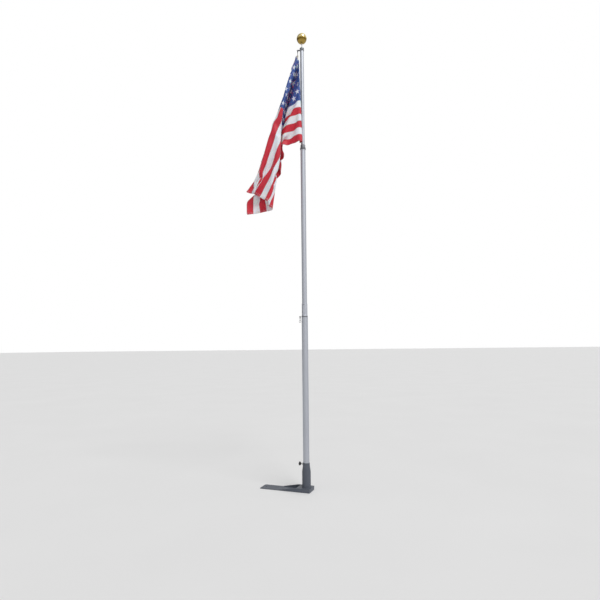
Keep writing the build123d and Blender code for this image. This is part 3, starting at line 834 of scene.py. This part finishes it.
grommet = {"bore": (0.0050, -0.0012), "lip": (0.0068, 0.0006), "lipWidth": 0.0018,
           "lipHeight": 0.0013, "roll": 1.15, "lipSteps": 8, "steps": 48,
           "washer": [(0.0083, 0.0016), (0.0085, 0.0012), (0.0085, -0.0014),
                      (0.0082, -0.0018), (0.0056, -0.0018)]}


def rolledGrommet(name, nodeName, body, g):
    profile = [g["bore"]]
    for k in range(g["lipSteps"] + 1):
        a = math.pi - k * math.pi / g["lipSteps"] * g["roll"]
        profile.append((g["lip"][0] + g["lipWidth"] * math.cos(a),
                        g["lip"][1] + g["lipHeight"] * math.sin(a)))
    profile += g["washer"] + [g["bore"]]
    obj = turnedPiece(name, profile, middleOf(nodeName), headingFront, g["steps"])
    dress(obj, "grommetBrass", body, nodeName)


rolledGrommet("upperGrommet", "upper_grommet", "flag_head", grommet)
rolledGrommet("lowerGrommet", "lower_grommet", "flag_foot", grommet)


# Weld round the socket's foot: a bead with the ripples of a hand run

weld = {"radius": 0.0455, "bead": 0.0042, "height": 0.0412, "plate": 0.0385, "ripples": 74,
        "lift": 0.0006, "wander": 0.10}


def weldBead(w):
    deselectAll()
    bpy.ops.mesh.primitive_torus_add(major_segments=w["ripples"] * 4, minor_segments=14,
                                     major_radius=w["radius"], minor_radius=w["bead"],
                                     location=(0, 0, w["height"]))
    obj = bpy.context.object
    obj.name = "weldBead"
    bpy.ops.object.transform_apply(location=True, rotation=True, scale=True)
    for v in obj.data.vertices:
        a = math.atan2(v.co.y, v.co.x)
        wander = w["wander"] * math.sin(a * 5 + 1) * math.sin(a * 3)
        ripple = 1 + w["lift"] / w["bead"] * math.sin(a * w["ripples"]) + wander
        middle = Vector((math.cos(a), math.sin(a), 0)) * w["radius"]
        middle += Vector((0, 0, w["height"]))
        v.co = middle + (v.co - middle) * ripple
        v.co.z = max(v.co.z, w["plate"])
    settle(obj, 60)
    dress(obj, "paintedSteel", "stand", "socket_weld")


weldBead(weld)


# Clamp: threaded screw and a five-lobed knob

clamp = {"height": 0.278, "knobFace": -0.0635, "tip": -0.03205, "screwRadius": 0.005,
         "pitch": 0.0015, "depth": 0.0009, "crest": (0.38, 0.62), "threadSteps": 40,
         "seat": 0.0006, "knobThick": 0.015, "lobes": 5, "rim": 0.0199, "waist": 0.0157,
         "swell": 0.8, "facets": 120, "dish": (0.0045, -0.0022), "boss": (0.0035, 0.0010),
         "edge": 0.0011, "sharp": 50.0, "hubRadii": (0.0096, 0.0088), "hubDepth": 0.0052,
         "hubDrop": 0.0024, "hubEdge": 0.0006}


def clampScrew(c):
    pitch, r, depth = c["pitch"], c["screwRadius"], c["depth"]
    length = c["tip"] - c["knobFace"]
    turns = int(length / pitch)
    rise, drop = c["crest"]
    profile = bpy.data.meshes.new("clampThread")
    profile.from_pydata([(0, r - depth, 0), (pitch * rise, r, 0), (pitch * drop, r, 0),
                         (pitch, r - depth, 0)], [(0, 1), (1, 2), (2, 3)], [])
    obj = bpy.data.objects.new("clampThread", profile)
    bpy.context.scene.collection.objects.link(obj)
    onlyActive(obj)
    winding = obj.modifiers.new("winding", "SCREW")
    winding.axis, winding.screw_offset, winding.iterations = "X", pitch, turns - 1
    winding.steps = winding.render_steps = c["threadSteps"]
    winding.use_merge_vertices = True
    applyModifiers(obj)
    bpy.ops.object.mode_set(mode="EDIT")
    bpy.ops.mesh.select_all(action="SELECT")
    bpy.ops.mesh.remove_doubles(threshold=1e-6)
    bpy.ops.mesh.select_all(action="DESELECT")
    bpy.ops.mesh.select_non_manifold(extend=False)
    bpy.ops.mesh.edge_face_add()
    bpy.ops.object.mode_set(mode="OBJECT")
    obj.location = (c["knobFace"] - c["seat"], 0, c["height"])
    settle(obj, 30)
    dress(obj, "zincSteel", "clamp", "clamp_screw")


def starKnob(c):
    deselectAll()
    bpy.ops.mesh.primitive_circle_add(vertices=c["facets"], radius=1.0, fill_type="NGON")
    obj = bpy.context.object
    obj.name = "starKnob"
    for v in obj.data.vertices:
        a = math.atan2(v.co.y, v.co.x)
        swell = 0.5 + 0.5 * math.cos(a * c["lobes"])
        r = c["waist"] + (c["rim"] - c["waist"]) * swell ** c["swell"]
        v.co = Vector((math.cos(a) * r, math.sin(a) * r, 0))
    bpy.ops.object.mode_set(mode="EDIT")
    bpy.ops.mesh.select_all(action="SELECT")
    bpy.ops.mesh.extrude_region_move(TRANSFORM_OT_translate={"value": (0, 0, c["knobThick"])})
    for inset, rise in (c["dish"], c["boss"]):
        bpy.ops.mesh.inset(thickness=inset)
        bpy.ops.transform.translate(value=(0, 0, rise))
    bpy.ops.object.mode_set(mode="OBJECT")
    bevelEdges(obj, c["edge"], 3, c["sharp"])
    applyModifiers(obj)
    # the knob's back carries a hub round the screw
    bpy.ops.mesh.primitive_cone_add(vertices=48, radius1=c["hubRadii"][0],
                                    radius2=c["hubRadii"][1], depth=c["hubDepth"],
                                    location=(0, 0, -c["hubDrop"]))
    hub = bpy.context.object
    bevelEdges(hub, c["hubEdge"], 2)
    applyModifiers(hub)
    combine(obj, hub, "UNION")
    obj.rotation_euler = (0, -math.pi / 2, 0)
    obj.location = (c["knobFace"], 0, c["height"])
    settle(obj)
    dress(obj, "knobPlastic", "clamp", "clamp_knob")


clampScrew(clamp)
starKnob(clamp)
print("clamp made")


# Sleeve screw: a button head with a hexagon socket

buttonHead = {"radius": 0.0045, "depth": 0.0026, "crown": 0.0010, "keyRadius": 0.0016,
              "keyDepth": 0.004, "keyHeight": 0.0022}


def sleeveScrew(b):
    deselectAll()
    bpy.ops.mesh.primitive_cylinder_add(vertices=48, radius=b["radius"], depth=b["depth"])
    obj = bpy.context.object
    obj.name = "sleeveScrew"
    bevelEdges(obj, b["crown"], 4)
    applyModifiers(obj)
    bpy.ops.mesh.primitive_cylinder_add(vertices=6, radius=b["keyRadius"],
                                        depth=b["keyDepth"], location=(0, 0, b["keyHeight"]))
    combine(obj, bpy.context.object, "DIFFERENCE")
    obj.rotation_euler = (math.pi / 2, 0, 0)
    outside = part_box("sleeve_screw")[0].y
    obj.location = (0, outside + b["depth"] / 2, middleOf("sleeve_screw").z)
    settle(obj, 30)
    dress(obj, "screwMetal", "lower_section", "sleeve_screw")


sleeveScrew(buttonHead)


# Finial: two spun half balls joined by a rolled band

ball = {"seat": 0.006, "arcSteps": 40, "steps": 96, "groove": 0.0022}


def spunBall(b):
    low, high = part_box("finial_ball")
    r = (high.z - low.z) / 2
    band = (high.x - low.x) / 2
    rim = [(r - 0.0004, b["groove"]), (r - 0.0001, 0.0017), (band - 0.0004, 0.0014),
           (band, 0.0008)]
    rim += [(x, -z) for x, z in reversed(rim)]
    start = math.asin(b["seat"] / r)
    angles = [start + (math.pi - 2 * start) * k / b["arcSteps"] for k in range(b["arcSteps"] + 1)]
    arc = [(r * math.sin(a), r * math.cos(a)) for a in angles]
    profile = [p for p in arc if p[1] > b["groove"]] + rim
    profile += [p for p in arc if p[1] < -b["groove"]]
    obj = turnedPiece("spunBall", profile, middleOf("finial_ball"), (0, 0, 1), b["steps"])
    dress(obj, "goldBall", "top_section", "finial_ball")


spunBall(ball)
print("finial made")


# Floor and light

stage = {"size": 800, "drop": 0.0005, "windowSide": (0.94, 0.34, 0.0)}
lamps = {"keyLight": {"place": (3.8, -2.6, 5.6), "power": 1.7, "width": 28},
         "fillLight": {"place": (-3.6, -5.4, 3.0), "power": 0.35, "width": 60}}


def studio(s, suns):
    deselectAll()
    bpy.ops.mesh.primitive_plane_add(size=s["size"], location=(0, 0, -s["drop"]))
    floor = bpy.context.object
    floor.name = "floor"
    material, tree, shader, place = newFinish("floorPaint", Roughness=0.9)
    cloud = speckle(tree, place, 0.8, 3, 0.5)
    colour = mixColour(tree, cloud, rgb(0.74, 0.74, 0.74), rgb(0.78, 0.78, 0.78))
    give(tree, shader, Base_Color=colour)
    floor.data.materials.append(material)

    world = bpy.data.worlds.new("studioWorld")
    bpy.context.scene.world = world
    world.use_nodes = True
    tree = world.node_tree
    background = tree.nodes["Background"]
    path = addNode(tree, "ShaderNodeLightPath")
    seen = calc(tree, "MAXIMUM", path.outputs["Is Camera Ray"], path.outputs["Is Transmission Ray"])
    ray = addNode(tree, "ShaderNodeTexCoord").outputs["Generated"]
    toRight = addNode(tree, "ShaderNodeVectorMath", {0: ray, 1: s["windowSide"]},
                      operation="DOT_PRODUCT")
    softbox = spread(tree, toRight.outputs["Value"], 0.30, 1.0, -0.75, 0.15, smooth=True)
    glossy = path.outputs["Is Glossy Ray"]
    strength = calc(tree, "ADD", calc(tree, "MULTIPLY", glossy, 0.15), 0.65)
    strength = calc(tree, "MULTIPLY", strength, softbox)
    strength = calc(tree, "MAXIMUM", strength, seen)
    background.inputs["Color"].default_value = (1, 1, 1, 1)
    tree.links.new(strength, background.inputs["Strength"])

    for name, lamp in suns.items():
        data = bpy.data.lights.new(name, "SUN")
        data.energy, data.angle = lamp["power"], math.radians(lamp["width"])
        obj = bpy.data.objects.new(name, data)
        obj.location = lamp["place"]
        obj.rotation_euler = (-Vector(lamp["place"])).to_track_quat("-Z", "Y").to_euler()
        bpy.context.scene.collection.objects.link(obj)


studio(stage, lamps)
bpy.context.scene.view_settings.view_transform = "Standard"
print("studio lit")
